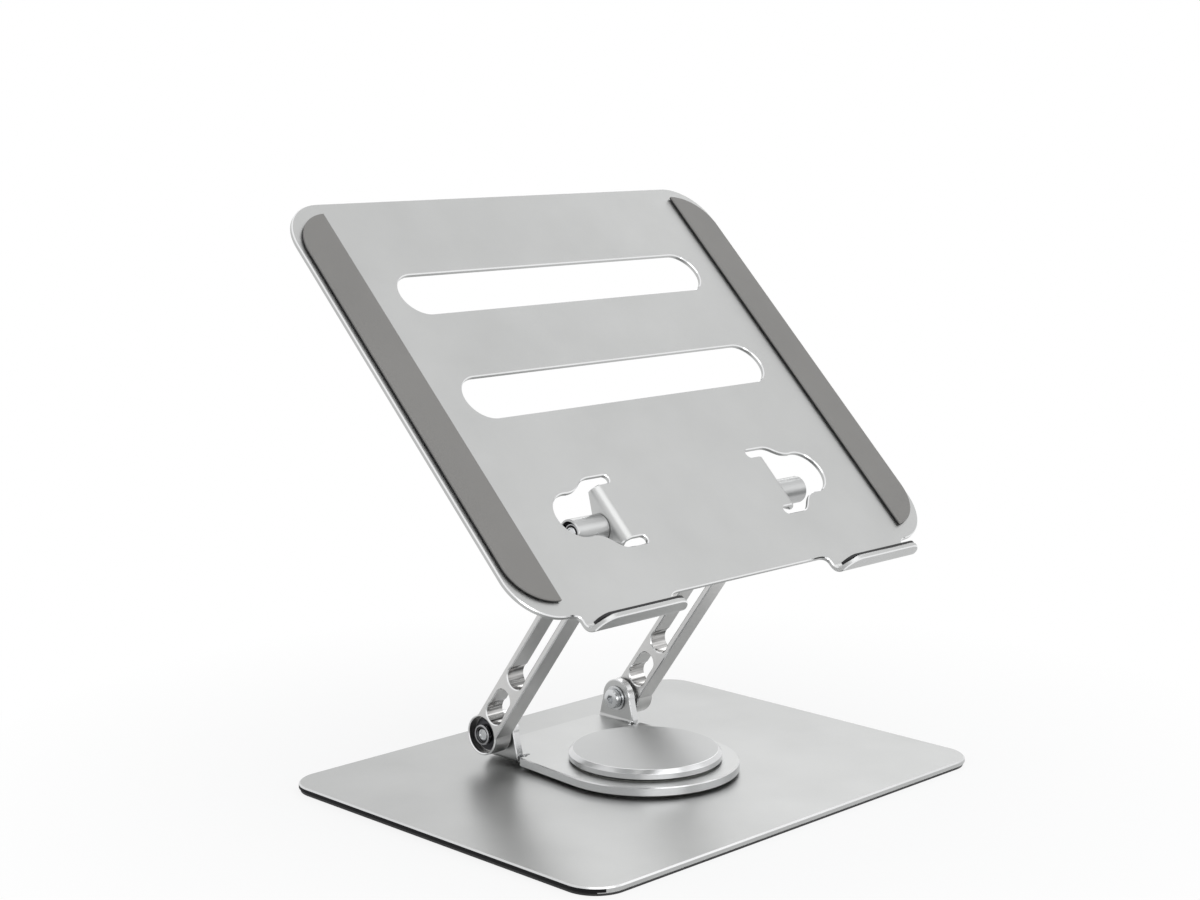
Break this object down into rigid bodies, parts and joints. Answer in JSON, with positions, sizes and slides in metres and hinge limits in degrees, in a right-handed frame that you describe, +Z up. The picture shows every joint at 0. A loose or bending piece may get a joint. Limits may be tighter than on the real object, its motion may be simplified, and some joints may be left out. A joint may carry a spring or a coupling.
{
  "type": "laptop stand",
  "caption": "Folding laptop stand: flat base, turning pivot, slotted arms on friction hinges, and a tilting tray with side pads, vents and front lips.",
  "frame": {"origin": "on the turning axis of the pivot, at the underside of the base mat, which is the surface that the stand rests on", "axes": "+Z up along the turning axis, +Y away from the user, +X to the user's right; at rest the tray faces the user at -Y"},
  "size_m": [0.28, 0.212, 0.2791],
  "materials": {
    "aluminium": "fine blasted and anodised silver, bright chamfered rims",
    "steel": "bright zinc plated",
    "dark_steel": "dark oiled spring steel",
    "black_rubber": "matt black",
    "grey_rubber": "matt dark grey silicone",
    "slide_plastic": "natural acetal"
  },
  "bodies": {
    "base": {"base_plate": "aluminium", "base_mat": "black_rubber", "pivot_hub": "steel", "lower_slide_ring": "slide_plastic", "upper_slide_ring": "slide_plastic", "pivot_cap": "aluminium", "pivot_screw_1": "steel", "pivot_screw_2": "steel", "pivot_screw_3": "steel", "pivot_screw_4": "steel"},
    "turntable": {"swivel_plate": "aluminium", "lower_hinge_bolt_right": "steel", "lower_hinge_bolt_left": "steel", "lower_head_washer_right": "steel", "lower_head_washer_left": "steel", "lower_friction_washer_right": "dark_steel", "lower_friction_washer_left": "dark_steel", "lower_recess_washer_right": "dark_steel", "lower_recess_washer_left": "dark_steel", "lower_disc_spring_right": "dark_steel", "lower_disc_spring_left": "dark_steel", "lower_lock_nut_right": "steel", "lower_lock_nut_left": "steel"},
    "arms": {"arm_right": "aluminium", "arm_left": "aluminium", "upper_hinge_bolt_right": "steel", "upper_hinge_bolt_left": "steel", "upper_head_washer_right": "steel", "upper_head_washer_left": "steel", "upper_friction_washer_right": "dark_steel", "upper_friction_washer_left": "dark_steel", "upper_spacer_sleeve_right": "dark_steel", "upper_spacer_sleeve_left": "dark_steel", "upper_disc_spring_1_right": "dark_steel", "upper_disc_spring_1_left": "dark_steel", "upper_disc_spring_2_right": "dark_steel", "upper_disc_spring_2_left": "dark_steel", "upper_disc_spring_3_right": "dark_steel", "upper_disc_spring_3_left": "dark_steel", "upper_disc_spring_4_right": "dark_steel", "upper_disc_spring_4_left": "dark_steel", "upper_lock_nut_right": "steel", "upper_lock_nut_left": "steel"},
    "tray": {"tray": "aluminium", "upper_barrel_right": "aluminium", "upper_barrel_left": "aluminium", "side_pad_right": "grey_rubber", "side_pad_left": "grey_rubber", "lip_pad_right": "black_rubber", "lip_pad_left": "black_rubber"}
  },
  "joints": [
    {"name": "base_swivel", "type": "hinge", "parent": "base", "child": "turntable", "pos_m": [0, 0, 0.0075], "axis": [0, 0, 1], "continuous": true},
    {"name": "arm_lift", "type": "hinge", "parent": "turntable", "child": "arms", "pos_m": [0, 0.058, 0.021], "axis": [1, 0, 0], "range_deg": [-36.5, 30]},
    {"name": "tray_tilt", "type": "hinge", "parent": "arms", "child": "tray", "pos_m": [0, -0.02765, 0.13675], "axis": [1, 0, 0], "range_deg": [-50, 15]}
  ]
}
